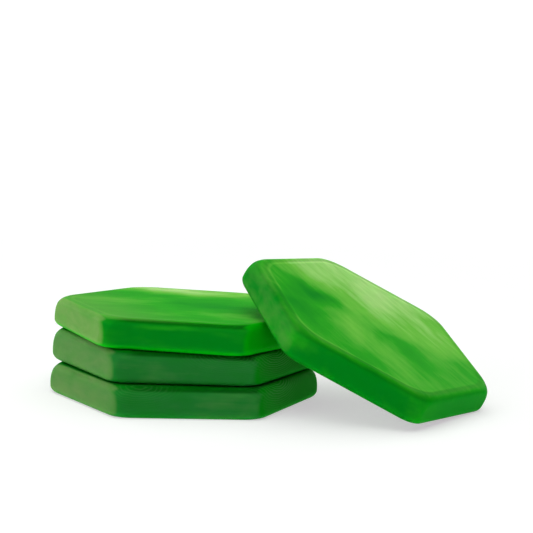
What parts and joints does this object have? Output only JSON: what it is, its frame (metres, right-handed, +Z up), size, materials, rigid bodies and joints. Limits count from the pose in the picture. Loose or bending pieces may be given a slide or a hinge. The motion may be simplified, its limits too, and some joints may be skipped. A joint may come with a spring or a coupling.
{
  "type": "coaster set",
  "caption": "Set of thick hexagon drink coasters in marbled translucent resin, some stacked flat and one leaning on the stack.",
  "frame": {"origin": "centre of the bottom coaster's underside, on the table", "axes": "+Z up; +X through a corner of the bottom coaster, towards the leaning coaster; +Y away from the viewer"},
  "size_m": [0.1864, 0.1289, 0.0608],
  "materials": {
    "bottom_resin": "frosted satin, translucent marbled resin",
    "middle_resin": "frosted satin, translucent marbled resin",
    "top_resin": "frosted satin, translucent marbled resin",
    "leaning_resin": "frosted satin, translucent marbled resin"
  },
  "bodies": {
    "bottom": {"bottom_coaster": "bottom_resin"},
    "middle": {"middle_coaster": "middle_resin"},
    "top": {"top_coaster": "top_resin"},
    "leaning": {"leaning_coaster": "leaning_resin"}
  },
  "joints": [
    {"name": "middle_lift", "type": "slide", "parent": "bottom", "child": "middle", "axis": [-0.733, 0.4769, 0.4851], "range_m": [0, 0.13]},
    {"name": "top_lift", "type": "slide", "parent": "middle", "child": "top", "axis": [-0.733, 0.4769, 0.4851], "range_m": [0, 0.13]},
    {"name": "leaning_tip", "type": "hinge", "parent": "bottom", "child": "leaning", "pos_m": [0.1222, -0.0259, 0.0029], "axis": [0.5454, 0.8382, 0], "range_deg": [0, 61]}
  ]
}
